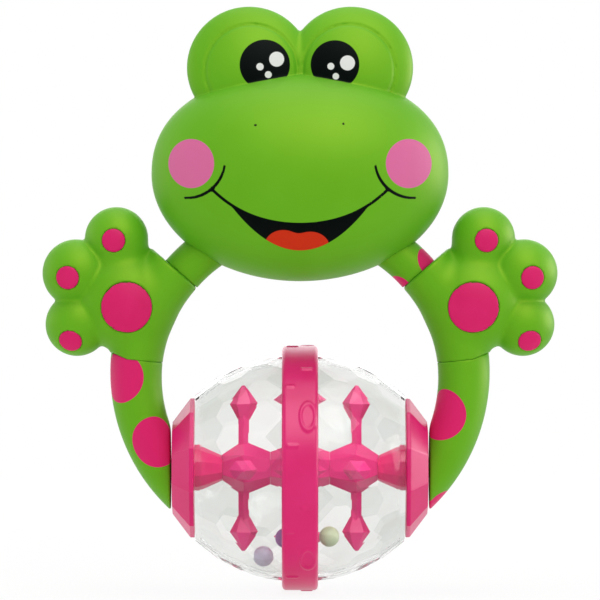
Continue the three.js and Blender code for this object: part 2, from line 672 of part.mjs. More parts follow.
const rattle = new THREE.Group();
rattle.add(ringGroup, headGroup, ballGroup);

export default rattle;
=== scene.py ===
"""A teething rattle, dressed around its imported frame.

A green animal's head and two arms make a ring, and a clear faceted ball with pink trim spins between the
ends of the arms. Sizes are in millimetres and become metres where a mesh is made. The face looks along -Y.
"""

import itertools
import json
import math
from functools import partial

import bmesh
import bpy
import numpy as np
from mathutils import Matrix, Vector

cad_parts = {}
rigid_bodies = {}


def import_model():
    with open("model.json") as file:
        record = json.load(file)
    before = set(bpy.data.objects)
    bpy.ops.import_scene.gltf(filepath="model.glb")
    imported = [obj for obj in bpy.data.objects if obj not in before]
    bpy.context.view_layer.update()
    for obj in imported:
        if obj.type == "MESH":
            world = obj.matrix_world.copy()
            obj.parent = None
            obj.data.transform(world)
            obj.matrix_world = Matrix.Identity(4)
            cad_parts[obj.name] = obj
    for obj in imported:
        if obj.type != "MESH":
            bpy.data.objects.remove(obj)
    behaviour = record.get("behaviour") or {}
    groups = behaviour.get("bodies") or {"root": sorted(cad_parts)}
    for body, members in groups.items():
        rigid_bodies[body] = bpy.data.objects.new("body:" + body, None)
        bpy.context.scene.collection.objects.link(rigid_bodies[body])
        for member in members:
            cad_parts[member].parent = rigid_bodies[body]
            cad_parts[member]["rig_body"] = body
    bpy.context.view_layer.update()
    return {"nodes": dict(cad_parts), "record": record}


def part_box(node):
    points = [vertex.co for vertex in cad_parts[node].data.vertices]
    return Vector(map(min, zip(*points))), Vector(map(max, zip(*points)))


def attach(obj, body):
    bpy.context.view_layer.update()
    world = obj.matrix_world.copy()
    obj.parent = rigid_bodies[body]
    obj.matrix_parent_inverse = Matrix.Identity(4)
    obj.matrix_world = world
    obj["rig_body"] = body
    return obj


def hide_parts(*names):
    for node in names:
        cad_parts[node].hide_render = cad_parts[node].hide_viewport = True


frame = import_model()

MM = 0.001

# Ring and arms
RING_RADIUS = 39.4
RING_RISE = 21.8  # ring's middle above the ball's axis
ARM_RADIUS = 6.25
ARM_TIP_RADIUS = 5.6
ARM_TIP_ANGLE = -52.7
ARM_NARROWS_TO = 1.2  # of the way from hand to tip, because the end face reaches past the tip's angle
UPPER_ARM_RADIUS = 5.0
CORE_LINE = RING_RADIUS - 1.9  # centreline of the core
UPPER_ARM_LINE = CORE_LINE + 0.2
ARM_END_WALL = 1.2
ARM_END_ROUND = 0.6
CORE_RADIUS = 3.6
CORE_GAP = 0.12
AXLE_RADIUS = 2.4
AXLE_ROOT = 2
SLEEVE_TOP_ANGLE = 58
SEAT_GAP = 0.3
SEAM = 0.02  # between pieces that are pressed together
CUFF_TOP_RADIUS = 7.1
CUFF_TOP_ROUND = 0.9
CUFF_HEM_ROUND = 0.15
SLEEVE_EDGE_ROUND = 0.1

# Hands: places are steps out from the ring's centreline and up along it, then radius and depth
HAND_ANGLE = 23.4
HAND_TOP_ANGLE = 41
HAND_BOTTOM_ANGLE = 6
HEM_TURN = (40.7, 4.1)  # where the hand's lower edge starts to climb, from the ring's middle
HEM_CLIMB = 23
PALM = (6.4, 0, 12, 8.8)
FINGERS = {"upper": (14.2, 13, 7.6, 6.8), "middle": (19.8, 1.6, 8.1, 7.2), "lower": (14.7, -9.6, 7.6, 6.8)}
PALM_BLEND = 1.8
FINGER_BLENDS = {"upper": 2.6, "middle": 0.9, "lower": 0.9}

# Pads: steps from the middle of their lobe, then radius
PADS = {
    "palm": (-1.25, -1.15, 6.1),
    "upper": (0.3, -0.7, 2.8),
    "middle": (1.3, -1.9, 2.8),
    "lower": (-0.3, -4.5, 2.8),
}
PAD_DEPTH = 1.6
PAD_PROUD = 0.12
PAD_SIDE_GAP = 0.02
PAD_EDGE_ROUND = 0.25

# Head, from the muzzle's middle
HEAD_RISE = 48.6  # muzzle's middle above the ring's middle
HEAD_WALL = 2.4
MUZZLE_MIDDLE = (0, -1.5, 0)
MUZZLE_HALF = (35.6, 20, 25.6)
CROWN_HEIGHT = 24.3  # of the muzzle's flatter upper half
CROWN_POWER = 2.25
MOUND_MIDDLE = (12.2, -2.2, 25.6)
MOUND_FRONT = (14.9, 5.6, 14.7)
MOUND_BACK = (14.9, 12.7, 14.7)
MOUND_LEAN = 0.13  # how far the eyes lean back, to one step of height
NOTCH_BLEND = 1.0
EYEBALL = (11.65, 24.75, 11.0)  # place across, height and radius
EYEBALL_DOME = 0.8
EYE_GROOVE = 0.36
BROW_BLEND = 0.3
PARTING_ROUND = 0.5
REST_FLAT_ROUND = 1.0
ARM_HOLE_GAP = 0.08
SADDLE_X = 9
SADDLE_THICKNESS = 2
SADDLE_DROP = 7
POST_X = 23
POST_Z = 6
POST_RADIUS = 3.2
PIN_RADIUS = 1.6
PIN_REACH = 3

# Ball
SHELL_RADIUS = 27
SHELL_END_RADIUS = 17
SHELL_WALL = 1.4
BOSS_HOLE_RADIUS = 5.6
CLEAR_ROWS = 20
CLEAR_SEGMENTS = 120
# A painted shade on the clear facets: each is tinted a random grey, standing in for the shade that it takes
# from its surroundings
FACET_SEED = 4
FACET_PAINTED_SHADE = 0.9  # painted shade of the greyest facet, where an end wall has 1
CUT_FACET_AREA = 25  # in square millimetres; the seam cuts off every facet that is smaller
CUT_FACET_SHARE = 0.5  # of that painted shade
FACES_ALONG = 0.99  # how nearly an end face looks along the ball's axis
BAND_WALL = 1.9
BAND_ROUND = 1
EMBOSS_HEIGHT = 0.26
BEAD_RADIUS = 2.4


def box_mm(node):
    low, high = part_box(node)
    return np.array(low) / MM, np.array(high) / MM


# Places that follow from the frame
band_low, band_high = box_mm("centre_band")
BAND_RADIUS = (band_high[2] - band_low[2]) / 2
BAND_HALF_WIDTH = (band_high[0] - band_low[0]) / 2
BALL_Z = (band_high[2] + band_low[2]) / 2
RING_Z = BALL_Z + RING_RISE
HEAD_Z = RING_Z + HEAD_RISE
ARM_END_X = box_mm("right_lower_arm_sleeve")[0][0]
SHELL_END_X = box_mm("right_shell")[1][0]
SHELL_HALF_LENGTH = SHELL_END_X / math.sqrt(1 - (SHELL_END_RADIUS / SHELL_RADIUS) ** 2)
rest_mount = frame["record"]["mounts"][0]


# Fields: a distance in millimetres for each point, below zero inside a form
def ellipsoid(p, middle, half):
    q = (p - np.array(middle)) / np.array(half)
    near = np.maximum(np.linalg.norm(q, axis=1), 1e-6)
    steep = np.maximum(np.linalg.norm(q / np.array(half), axis=1), 1e-9)
    return near * (near - 1) / steep


def joined(a, b, width):
    """Both forms as one, with a fillet of about this width where they meet."""
    share = np.maximum(width - np.abs(a - b), 0) / width
    return np.minimum(a, b) - share * share * width / 4


def common(a, b, width):
    """What lies in both forms, with its edge rounded."""
    return -joined(-a, -b, width)


def mirrored_x(p):
    return np.column_stack((np.abs(p[:, 0]), p[:, 1], p[:, 2]))


def past_angle(p, angle):
    """How far a point lies above the plane through the ring's middle at an angle, on its own side."""
    turn = math.radians(angle)
    return (p[:, 2] - RING_Z) * math.cos(turn) - np.abs(p[:, 0]) * math.sin(turn)


def above_hem(p):
    """How far a point lies above the hand's lower edge, which climbs towards the fingers."""
    climb = math.radians(HEM_CLIMB)
    up = p[:, 2] - RING_Z - HEM_TURN[1]
    outer = up * math.cos(climb) - (np.abs(p[:, 0]) - HEM_TURN[0]) * math.sin(climb)
    return np.minimum(past_angle(p, HAND_BOTTOM_ANGLE), outer)


def ring_tube(p, radius, line):
    out = np.hypot(p[:, 0], p[:, 2] - RING_Z)
    return np.hypot(out - line, p[:, 1]) - radius


def ring_angle(p):
    return np.degrees(np.arctan2(p[:, 2] - RING_Z, np.abs(p[:, 0])))


def lower_arm(p):
    """The arm below the hand, which narrows to its tip on the outside of the ring."""
    share = (HAND_BOTTOM_ANGLE - ring_angle(p)) / (HAND_BOTTOM_ANGLE - ARM_TIP_ANGLE)
    share = np.clip(share, 0, ARM_NARROWS_TO)
    radius = ARM_RADIUS + share * (ARM_TIP_RADIUS - ARM_RADIUS)
    return ring_tube(p, radius, RING_RADIUS - ARM_RADIUS + radius)


def cuff(p):
    """The hand's own piece of the ring, flush with both arms on the inside of the ring."""
    share = np.clip((ring_angle(p) - HAND_BOTTOM_ANGLE) / (HAND_TOP_ANGLE - HAND_BOTTOM_ANGLE), 0, 1)
    radius = ARM_RADIUS + share * (CUFF_TOP_RADIUS - ARM_RADIUS)
    inside = RING_RADIUS - ARM_RADIUS
    inside = inside + share * (UPPER_ARM_LINE - UPPER_ARM_RADIUS - inside)
    return ring_tube(p, radius, inside + radius)


def core_room(p):
    return ring_tube(p, CORE_RADIUS + CORE_GAP, CORE_LINE)


def upper_arm(p, room=0.0):
    return ring_tube(p, UPPER_ARM_RADIUS + room, UPPER_ARM_LINE)


def upper_sleeve(p):
    form = common(upper_arm(p), past_angle(p, SLEEVE_TOP_ANGLE), SLEEVE_EDGE_ROUND)
    form = common(form, SEAM - past_angle(p, HAND_TOP_ANGLE), SLEEVE_EDGE_ROUND)
    return np.maximum(form, -core_room(p))


def lower_sleeve(p):
    form = common(lower_arm(p), above_hem(p) + SEAM, SLEEVE_EDGE_ROUND)
    form = common(form, ARM_END_X - np.abs(p[:, 0]), ARM_END_ROUND)
    past_wall = np.abs(p[:, 0]) - ARM_END_X - ARM_END_WALL
    axle_hole = np.hypot(p[:, 1], p[:, 2] - BALL_Z) - AXLE_RADIUS - SEAT_GAP
    axle_hole = np.maximum(axle_hole, past_wall - AXLE_ROOT - SEAT_GAP)
    bore = np.minimum(np.maximum(core_room(p), -past_wall), axle_hole)
    return np.maximum(form, -bore)


def hand_point(out, up, y=0.0):
    turn = math.radians(HAND_ANGLE)
    x = (RING_RADIUS + out) * math.cos(turn) - up * math.sin(turn)
    z = (RING_RADIUS + out) * math.sin(turn) + up * math.cos(turn)
    return np.array((x, y, RING_Z + z))


def hand_skin(p):
    q = mirrored_x(p)
    skin = common(cuff(q), past_angle(q, HAND_TOP_ANGLE), CUFF_TOP_ROUND)
    skin = common(skin, -above_hem(q), CUFF_HEM_ROUND)
    lobes = [(PALM, PALM_BLEND), *((FINGERS[name], FINGER_BLENDS[name]) for name in FINGERS)]
    for (out, up, radius, depth), width in lobes:
        skin = joined(skin, ellipsoid(q, hand_point(out, up), (radius, depth, radius)), width)
    return skin


def pad_frame(name):
    """Where a pad sits on the front of its lobe, and the skin's direction there."""
    out, up, radius, depth = PALM if name == "palm" else FINGERS[name]
    pad_out, pad_up, _ = PADS[name]
    middle = hand_point(out, up)
    place = hand_point(out + pad_out, up + pad_up)
    dx, dz = place[0] - middle[0], place[2] - middle[2]
    place[1] = -depth * math.sqrt(1 - (dx**2 + dz**2) / radius**2)
    normal = np.array((dx / radius**2, place[1] / depth**2, dz / radius**2))
    return place, normal / np.linalg.norm(normal)


def pad_cylinder(p, name):
    """Distance from a pad's axis, and height above the skin along it."""
    place, normal = pad_frame(name)
    q = mirrored_x(p) - place
    height = q @ normal
    return np.linalg.norm(q - height[:, None] * normal, axis=1), height


def hand(p):
    room_above = np.maximum(upper_arm(p, SEAM), -past_angle(p, HAND_TOP_ANGLE))
    room_below = np.maximum(lower_arm(p) - SEAM, above_hem(p))
    room = np.minimum.reduce([room_above, room_below, core_room(p)])
    form = np.maximum(hand_skin(p), -room)
    for name, (_, _, radius) in PADS.items():
        across, height = pad_cylinder(p, name)
        form = common(form, -np.maximum(across - radius, -PAD_DEPTH - height), PAD_EDGE_ROUND / 2)
    return form


def pad(p, name):
    across, height = pad_cylinder(p, name)
    form = common(hand_skin(p) - PAD_PROUD, across - PADS[name][2] + PAD_SIDE_GAP, PAD_EDGE_ROUND)
    return common(form, SEAT_GAP - PAD_DEPTH - height, PAD_EDGE_ROUND / 2)


def from_head(p):
    return mirrored_x(p) - np.array((0, 0, HEAD_Z))


def muzzle(p):
    """A round form whose upper half is lower and a little squarer."""
    q = np.abs(from_head(p) - np.array(MUZZLE_MIDDLE))
    upper = p[:, 2] > HEAD_Z
    power = np.where(upper, CROWN_POWER, 2.0)
    half_width, half_depth, half_height = MUZZLE_HALF
    half_height = np.where(upper, CROWN_HEIGHT, half_height)
    wide, high = q[:, 0] / half_width, q[:, 2] / half_height
    deep = q[:, 1] / half_depth
    near = np.hypot((wide**power + high**power) ** (1 / power), deep)
    steep = np.sqrt((wide / half_width) ** 2 + (deep / half_depth) ** 2 + (high / half_height) ** 2)
    return near * (near - 1) / np.maximum(steep, 1e-9)


def eyes(p):
    """Two mounds that run together, each with a domed eyeball inside a fine round groove."""
    q = from_head(p)
    x, y, z = MOUND_MIDDLE
    q[:, 1] -= MOUND_LEAN * (q[:, 2] - z)
    front = q[:, 1] < y
    near, far = (
        np.where(front, ellipsoid(q, middle, MOUND_FRONT), ellipsoid(q, middle, MOUND_BACK))
        for middle in ((x, y, z), (-x, y, z))
    )
    mounds = joined(near, far, NOTCH_BLEND)
    across = np.hypot(q[:, 0] - EYEBALL[0], q[:, 2] - EYEBALL[1])
    dome = np.where(front, np.maximum(1 - (across / EYEBALL[2]) ** 2, 0), 0)
    form = mounds - EYEBALL_DOME * dome
    from_rim = np.where(front, across - EYEBALL[2], EYEBALL[2])
    return common(form, EYE_GROOVE - np.hypot(form, from_rim), EYE_GROOVE)


def head_skin(p):
    skin = joined(eyes(p), muzzle(p), BROW_BLEND)
    rest_flat = (p - np.array(rest_mount["pos_m"]) / MM) @ np.array(rest_mount["axis"])
    return common(skin, rest_flat, REST_FLAT_ROUND)


def head_half(p, side):
    """One half of the hollow head, the front at side -1, with its ribs, posts and pins."""
    q = from_head(p)
    skin = head_skin(p)
    core_z = CORE_LINE - HEAD_RISE
    rib = np.maximum(np.abs(q[:, 0] - SADDLE_X) - SADDLE_THICKNESS / 2, core_z - SADDLE_DROP - q[:, 2])
    rib = np.maximum(rib, q[:, 2] - core_z - CORE_RADIUS - SADDLE_THICKNESS)
    from_post = np.hypot(q[:, 0] - POST_X, q[:, 2] - POST_Z)
    form = np.maximum(skin, np.minimum(np.minimum(-skin - HEAD_WALL, rib), from_post - POST_RADIUS))
    arm_hole = np.maximum(upper_arm(p, ARM_HOLE_GAP), -past_angle(p, HAND_TOP_ANGLE))
    arm_hole = np.maximum(arm_hole, past_angle(p, SLEEVE_TOP_ANGLE) - SEAT_GAP)
    form = np.maximum(form, -np.minimum(arm_hole, core_room(p)))
    form = common(form, SEAM / 2 - side * q[:, 1], PARTING_ROUND)
    pin = np.maximum(from_post - PIN_RADIUS, np.abs(q[:, 1]) - PIN_REACH)
    socket = np.maximum(from_post - PIN_RADIUS - SEAT_GAP, np.abs(q[:, 1]) - PIN_REACH - SEAT_GAP)
    return np.minimum(form, pin) if side < 0 else np.maximum(form, -socket)


# Meshes
SETTLING_ROUNDS = 3
SLOPE_STEP = 0.02  # over which a field's slope is measured
LEAST_SLOPE_SQUARED = 0.2  # so that no point runs away where a field is flat
MERGE_DISTANCE = 0.002  # between points that are one
FLAT_ANGLE = math.radians(1)  # up to which a solid's triangles are one face
SHARP_ANGLE = math.radians(3)  # from which an edge is rounded
EDGE_SEGMENTS = 2  # of a rounded edge


def settled(field, points, reach):
    """Points moved onto the field's zero level, each by no more than reach in a round."""
    for _ in range(SETTLING_ROUNDS):
        value = field(points)
        steps = SLOPE_STEP * np.eye(3)
        rises = [field(points + step) - field(points - step) for step in steps]
        slope = np.column_stack(rises) / (2 * SLOPE_STEP)
        move = value / np.maximum((slope**2).sum(axis=1), LEAST_SLOPE_SQUARED)
        points = points - np.clip(move, -reach, reach)[:, None] * slope
    return points


def main_body(points, faces):
    """The largest connected body, without the specks that a grid leaves where an edge is thin."""
    label = np.arange(len(points))
    while True:
        least = np.repeat(label[faces].min(axis=1), 4)
        lower = label.copy()
        np.minimum.at(lower, faces.ravel(), least)
        lower = lower[lower]
        if (lower == label).all():
            break
        label = lower
    body = label[faces[:, 0]]
    used, kept = np.unique(faces[body == np.bincount(body).argmax()], return_inverse=True)
    return points[used], kept.reshape(-1, 4)


def net_around(field, node, margin, step):
    """Four-sided faces on a field's zero level, near a node, with a corner in each cell that it crosses."""
    low, high = box_mm(node)
    low = low - margin
    high = high + margin
    counts = np.ceil((high - low) / step).astype(int) + 1
    axes = [low[axis] + step * np.arange(counts[axis]) for axis in range(3)]
    grid = np.stack(np.meshgrid(*axes, indexing="ij"), axis=-1)
    value = field(grid.reshape(-1, 3)).reshape(counts)
    inside = value < 0
    corners = [np.array(offset) for offset in itertools.product((0, 1), repeat=3)]
    cells = counts - 1
    filled = np.zeros(cells, int)
    for a, b, c in corners:
        filled += inside[a : a + cells[0], b : b + cells[1], c : c + cells[2]]
    crossed = (filled > 0) & (filled < 8)
    index = np.argwhere(crossed)
    number = np.full(cells, -1)
    number[crossed] = np.arange(len(index))
    # A corner in each crossed cell, at the mean of the places where the level crosses the cell's edges
    total = np.zeros((len(index), 3))
    count = np.zeros(len(index))
    for axis, near in itertools.product(range(3), corners):
        if near[axis]:
            continue
        from_value = value[tuple((index + near).T)]
        to_value = value[tuple((index + near + np.eye(3, dtype=int)[axis]).T)]
        change = (from_value < 0) != (to_value < 0)
        place = np.tile(near.astype(float), (len(index), 1))
        place[change, axis] = from_value[change] / (from_value[change] - to_value[change])
        total[change] += place[change]
        count += change
    points = low + step * (index + total / count[:, None])
    # A face round each edge of the grid that the level crosses
    faces = []
    for axis in range(3):
        u, v = (axis + 1) % 3, (axis + 2) % 3
        start = np.moveaxis(inside, axis, 0)[:-1]
        end = np.moveaxis(inside, axis, 0)[1:]
        edge = np.argwhere(np.moveaxis(start != end, 0, axis))
        held = (edge[:, [u, v]] > 0).all(axis=1) & (edge[:, u] < cells[u]) & (edge[:, v] < cells[v])
        edge = edge[held]
        ring = []
        for du, dv in ((1, 1), (0, 1), (0, 0), (1, 0)):
            cell = edge.copy()
            cell[:, u] -= du
            cell[:, v] -= dv
            ring.append(number[tuple(cell.T)])
        quads = np.stack(ring, axis=1)
        inward = ~inside[tuple(edge.T)]
        quads[inward] = quads[inward][:, ::-1]
        faces.append(quads)
    points, faces = main_body(points, np.concatenate(faces))
    return settled(field, points, step / 2), faces


def stand(name, data):
    """An object of the scene that shows a mesh, lamp or camera."""
    thing = bpy.data.objects.new(name, data)
    bpy.context.scene.collection.objects.link(thing)
    return thing


def dress(piece, body, slot, *nodes):
    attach(piece, body)
    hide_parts(*nodes)
    return piece


def add_piece(name, points, faces, body, slot, material, *nodes):
    """A smooth mesh from points in millimetres, which rides on a body and stands for its nodes."""
    mesh = bpy.data.meshes.new(name)
    mesh.from_pydata((np.asarray(points) * MM).tolist(), [], [tuple(face) for face in faces])
    mesh.polygons.foreach_set("use_smooth", [True] * len(mesh.polygons))
    mesh.materials.append(material)
    mesh.update()
    return dress(stand(name, mesh), body, slot, *nodes)


def flat_faced(node):
    """A solid of the frame for editing, with the triangles of each flat face made one face again."""
    form = bmesh.new()
    form.from_mesh(frame["nodes"][node].data)
    bmesh.ops.remove_doubles(form, verts=form.verts, dist=MERGE_DISTANCE * MM)
    bmesh.ops.dissolve_limit(form, angle_limit=FLAT_ANGLE, verts=form.verts, edges=form.edges)
    return form


def add_print(piece, layer, distance):
    """A print's distance from its edge in millimetres, below zero on the ink, kept on the mesh's points."""
    attribute = piece.data.attributes.new(layer, "FLOAT", "POINT")
    attribute.data.foreach_set("value", distance.astype(np.float32))


def softened(node, name, edge, slot, material, grow=(0, 0)):
    """A moulded copy of a faceted solid: its flat faces whole again and its edges rounded.

    Grow is how far its two ends along X are drawn out, towards pieces that they are pressed against.
    """
    form = flat_faced(node)
    sharp = [e for e in form.edges if e.is_manifold and e.calc_face_angle() > SHARP_ANGLE]
    rounding = {"offset": edge * MM, "segments": EDGE_SEGMENTS, "profile": 0.5, "clamp_overlap": True}
    bmesh.ops.bevel(form, geom=sharp, affect="EDGES", **rounding)
    low, high = (corner[0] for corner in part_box(node))
    for v in form.verts:
        v.co.x = np.interp(v.co.x, (low, high), (low - grow[0] * MM, high + grow[1] * MM))
    mesh = bpy.data.meshes.new(name)
    form.to_mesh(mesh)
    form.free()
    mesh.polygons.foreach_set("use_smooth", [True] * len(mesh.polygons))
    mesh.materials.append(material)
    piece = stand(name, mesh)
    piece.modifiers.new("flat_faces", "WEIGHTED_NORMAL").keep_sharp = True
    return dress(piece, frame["nodes"][node]["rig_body"], slot, node)


# Materials
def ink(code):
    """A colour written as an sRGB hex value, as the linear colour that a shader needs."""
    parts = [int(code[i : i + 2], 16) / 255 for i in (1, 3, 5)]
    return (*((c / 12.92) if c <= 0.04045 else ((c + 0.055) / 1.055) ** 2.4 for c in parts), 1.0)


def add(tree, kind, inputs=None, **settings):
    """One node with its settings, and for each input a value or the output that it is linked to."""
    node = tree.nodes.new("ShaderNode" + kind)
    for name, value in settings.items():
        setattr(node, name, value)
    for socket, value in (inputs or {}).items():
        if isinstance(value, bpy.types.NodeSocket):
            tree.links.new(value, node.inputs[socket])
        else:
            node.inputs[socket].default_value = value
    return node


WHITE = ink("#FFFFFF")
INK_SHEEN = ink("#383838")
PRINT_EDGE = 0.07  # half the width over which ink fades out, in millimetres
SHARE, FIRST, SECOND, MIXED = 0, 6, 7, 2  # a colour mix's inputs by number, then its output


def new_material(name):
    material = bpy.data.materials.new(name)
    material.use_nodes = True
    material.node_tree.nodes.clear()
    return material, material.node_tree


def moulded(name, dark, light, patch, grain, grain_depth, prints=(), **finish):
    """A moulded plastic: a colour that drifts a little over patches, a fine grain, and any flush prints.

    Patch and grain are sizes in millimetres, and a print is a mesh layer with the colour of its ink. The
    real grain of a mould is too fine to show, so it is drawn coarser, until it just breaks up the sheen.
    """
    material, tree = new_material(name)
    place = add(tree, "TexCoord").outputs["Object"]
    drift = {"Vector": place, "Scale": 1 / (patch * MM), "Detail": 2.0, "Roughness": 0.5}
    drift = add(tree, "TexNoise", drift).outputs["Fac"]
    share = add(tree, "MapRange", {"Value": drift, "From Min": 0.3, "From Max": 0.7})
    blend = {SHARE: share.outputs["Result"], FIRST: ink(dark), SECOND: ink(light)}
    colour = add(tree, "Mix", blend, data_type="RGBA").outputs[MIXED]
    sheen = finish.pop("Specular Tint", WHITE)
    for layer, code in prints:
        edge = add(tree, "Attribute", attribute_name=layer)
        inked = {"Value": edge.outputs["Fac"], "From Min": PRINT_EDGE, "From Max": -PRINT_EDGE}
        share = add(tree, "MapRange", inked, interpolation_type="SMOOTHSTEP")
        blend = {SHARE: share.outputs["Result"], FIRST: colour, SECOND: ink(code)}
        colour = add(tree, "Mix", blend, data_type="RGBA").outputs[MIXED]
        blend = {SHARE: share.outputs["Result"], FIRST: sheen, SECOND: INK_SHEEN}
        sheen = add(tree, "Mix", blend, data_type="RGBA").outputs[MIXED]
    noise = add(tree, "TexNoise", {"Vector": place, "Scale": 1 / (grain * MM), "Detail": 3.0})
    relief = {"Height": noise.outputs["Fac"], "Distance": grain_depth * MM, "Strength": 0.6}
    bump = add(tree, "Bump", relief)
    surface = {"Base Color": colour, "Specular Tint": sheen, "Normal": bump.outputs["Normal"], **finish}
    add(tree, "OutputMaterial", {"Surface": add(tree, "BsdfPrincipled", surface).outputs[0]})
    return material


FACE_PRINTS = [
    ("print_cheek", "#D96D9D"),
    ("print_black", "#010705"),
    ("print_white", "#E2E3DF"),
    ("print_red", "#CA3217"),
]
SPOT_PRINTS = [("print_pink", "#DC296C")]
GREEN = ("#57A71A", "#5BAC1F")

# Overmoulded thermoplastic elastomer, satin from its mould: a broad sheen that its pigment tints yellow
green_satin = {"Roughness": 0.5, "Specular IOR Level": 0.5, "Specular Tint": ink("#FFED61")}
elastomer = {"patch": 14, "grain": 0.5, "grain_depth": 0.012, **green_satin}
spotted_green = moulded("spotted_green_elastomer", *GREEN, prints=SPOT_PRINTS, **elastomer)
hand_green = moulded("green_elastomer_satin", *GREEN, **elastomer)

# Moulded ABS, satin from its mould: the green and the sheen of the arms, on a finer grain
hard_shell = {"patch": 16, "grain": 0.45, "grain_depth": 0.008, **green_satin}
face_green = moulded("green_abs_printed", *GREEN, prints=FACE_PRINTS, **hard_shell)
rear_green = moulded("green_abs_satin", *GREEN, **hard_shell)

# Moulded nylon, plain from its mould: a duller green, seen only in the joints
nylon = {"patch": 10, "grain": 0.6, "grain_depth": 0.01, "Roughness": 0.42, "Specular IOR Level": 0.18}
core_green = moulded("green_nylon_core", "#549310", "#5C9C16", **nylon)

# Elastomer inserts, satin from their mould: a soft sheen and no hard highlight
insert = {"patch": 6, "grain": 0.5, "grain_depth": 0.01, "Roughness": 0.5, "Specular IOR Level": 0.15}
elastomer_pink = moulded("pink_elastomer_satin", "#D41762", "#DA1D69", **insert)

# Moulded polystyrene, polished in its mould: glossier than the arms, with the wheels a shade paler
styrene = {"grain": 0.7, "Roughness": 0.3, "Specular IOR Level": 0.25}
trim = {"patch": 9, "grain_depth": 0.006, **styrene}
styrene_pink = moulded("pink_styrene_gloss", "#DA196A", "#E02373", **trim)
wheel_pink = moulded("pink_styrene_wheels", "#D42373", "#DA2F7C", **trim)

# Clear polystyrene has an index of 1.59, but facets that bent light so would hide the wheels behind them.
# The end walls bend nothing, or they would trap the view between them and turn black.
CLEAR_BEND = 1.04
END_WALL_BEND = 1.0
FLOW_PATCH = 5


def clear_styrene(name, bend):
    """Clear polystyrene, polished in its mould: bright facets darkened by a painted shade of grey, and
    lamps light the wheels through it.
    """
    material, tree = new_material(name)
    place = add(tree, "TexCoord").outputs["Object"]
    flow = add(tree, "TexNoise", {"Vector": place, "Scale": 1 / (FLOW_PATCH * MM), "Detail": 2.0})
    polish = add(tree, "MapRange", {"Value": flow.outputs["Fac"], "To Min": 0.01, "To Max": 0.03})
    # Painted shade: the grey kept on each facet mixes the clear colour towards grey
    painted_shade = add(tree, "Attribute", attribute_name="facet_painted_shade").outputs["Fac"]
    blend = {SHARE: painted_shade, FIRST: ink("#FBFBFA"), SECOND: ink("#D3D7D3")}
    painted_shade_tint = add(tree, "Mix", blend, data_type="RGBA").outputs[MIXED]
    finish = {"Roughness": polish.outputs["Result"], "IOR": bend, "Transmission Weight": 1.0}
    gloss = {"Coat Weight": 0.4, "Coat IOR": 1.5, "Coat Roughness": 0.05}
    glass = add(tree, "BsdfPrincipled", {"Base Color": painted_shade_tint, **finish, **gloss})
    shadow = add(tree, "BsdfTransparent", {"Color": ink("#F4F6F4")})
    path = add(tree, "LightPath")
    mix = {0: path.outputs["Is Shadow Ray"], 1: glass.outputs[0], 2: shadow.outputs[0]}
    add(tree, "OutputMaterial", {"Surface": add(tree, "MixShader", mix).outputs[0]})
    return material


# Camera, at the photograph's viewing angle: straight on, with a long lens; in metres
VIEW_DISTANCE = 1.2
VIEW_WIDTH = 0.144  # what the frame takes in at the object
VIEW_Z = 0.06984
SENSOR_WIDTH = 36
camera = stand("camera", bpy.data.cameras.new("camera"))
camera.location = (0, -VIEW_DISTANCE, VIEW_Z)
camera.rotation_euler = (math.pi / 2, 0, 0)
camera.data.sensor_width = SENSOR_WIDTH
camera.data.lens = SENSOR_WIDTH * VIEW_DISTANCE / VIEW_WIDTH
camera.data.clip_end = 20
bpy.context.scene.camera = camera

# Head
HEAD_STEP = 0.45
HEAD_MARGIN = 1.0  # of the net past its solid
# Prints, by their middles across and above the muzzle's middle, straight ahead of the camera, and then by
# a radius, or by half a width and half a height
PUPILS = [(-8.45, 26.35, 6.05), (8.4, 26.4, 5.85)]
HIGHLIGHTS = [
    (-5.6, 27.7, 1.8),
    (-9.6, 25.9, 0.9),
    (-7.6, 24.0, 0.85),
    (11.4, 26.8, 1.8),
    (7.4, 26.0, 0.85),
    (8.6, 23.6, 0.8),
]
NOSTRILS = [(-10.7, 11.9, 0.34), (10.4, 12.2, 0.34)]
CHEEK = (26.1, 2.65, 5.5, 5.9)
SMILE_ARC = (27.1, 3.5, 9.1)  # middle and radius of the line round a cheek
SMILE_FROM, SMILE_TO = -172.7, -85.3
SMILE_HALF_WIDTH = 0.38
SMILE_TAPER = 0.25  # how much thinner the line is at its ends
LIP_HALF_WIDTH = 0.35
LIP_END = 21.3
TONGUE = [(-4.0, -16.8, 4.4, 3.5), (2.5, -17.2, 4.5, 3.5)]
TONGUE_BLEND = 1.6
UPPER_LIP = np.polynomial.Polynomial((-11.9, 0, 0.0142, 0, 1.03e-5))
LOWER_LIP = np.polynomial.Polynomial((-18.2, 0, 0.0392))
BROW_MARGIN = 0.05  # how far the pupils keep off the muzzle


def circles(x, z, rounds):
    return np.min([np.hypot(x - cx, z - cz) - radius for cx, cz, radius in rounds], axis=0)


def oval(x, z, cx, cz, half_width, half_height):
    reach = np.hypot((x - cx) / half_width, (z - cz) / half_height)
    return (reach - 1) * min(half_width, half_height)


def above_curve(x, z, curve):
    return (z - curve(x)) / np.hypot(1, curve.deriv()(x))


def smile_line(x, z):
    cx, cz, radius = SMILE_ARC
    turn = np.degrees(np.arctan2(z - cz, np.abs(x) - cx))
    along = np.clip((turn - SMILE_FROM) / (SMILE_TO - SMILE_FROM), 0, 1)
    width = SMILE_HALF_WIDTH * (1 - SMILE_TAPER + SMILE_TAPER * np.sin(np.pi * along))
    ends = np.maximum(SMILE_FROM - turn, turn - SMILE_TO) * math.radians(radius)
    return np.maximum(np.abs(np.hypot(np.abs(x) - cx, z - cz) - radius) - width, ends)


